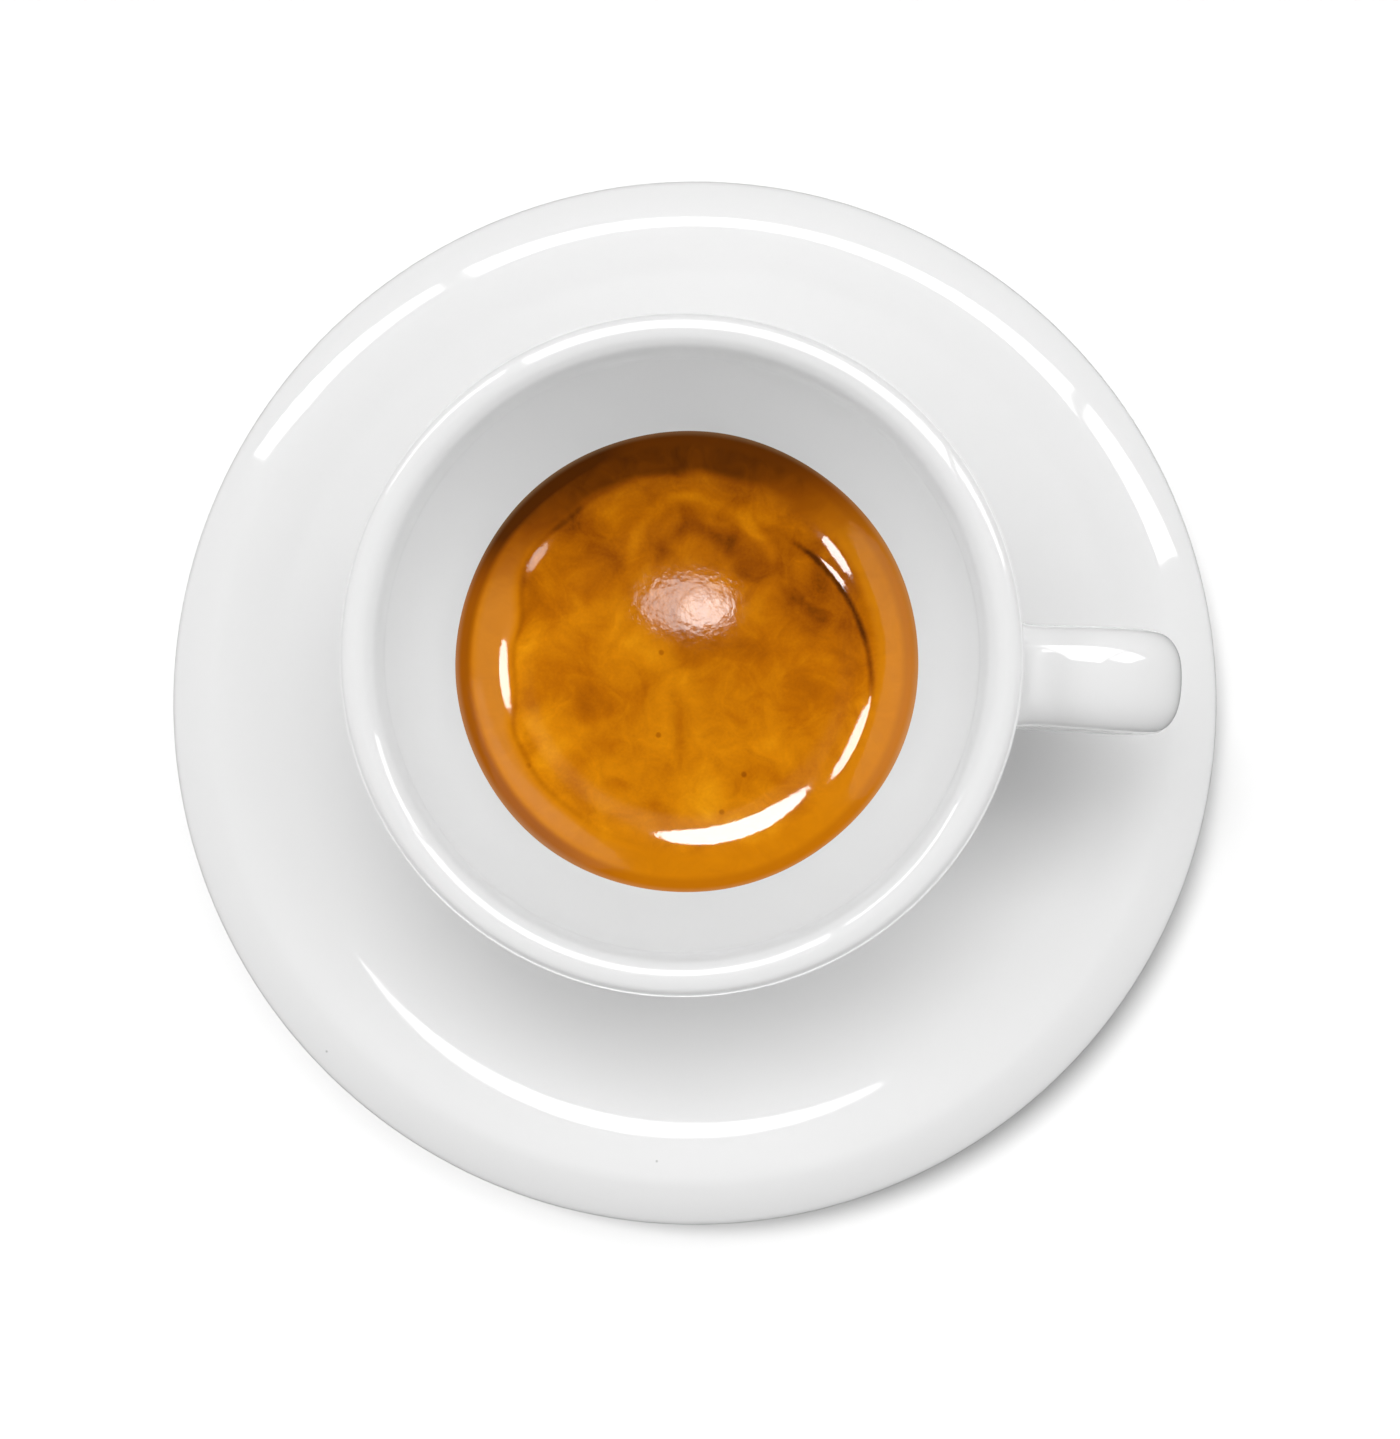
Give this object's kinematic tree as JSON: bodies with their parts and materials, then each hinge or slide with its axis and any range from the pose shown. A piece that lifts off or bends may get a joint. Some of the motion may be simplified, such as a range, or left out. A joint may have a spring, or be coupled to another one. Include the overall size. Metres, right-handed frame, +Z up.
{
  "type": "espresso in a cup with saucer",
  "caption": "Single espresso with a crema top in a thick round porcelain cup with a strap handle, standing in the well of its round saucer with a rolled rim.",
  "frame": {"origin": "centre of the saucer's foot, on the table it stands on", "axes": "+Z up out of the cup, +X towards the cup's handle, +Y across it"},
  "size_m": [0.12, 0.12, 0.0628],
  "materials": {
    "saucer_porcelain": "gloss",
    "cup_porcelain": "gloss",
    "crema": "satin"
  },
  "bodies": {
    "root": {"saucer": "saucer_porcelain", "cup": "cup_porcelain", "espresso": "crema"}
  },
  "joints": []
}
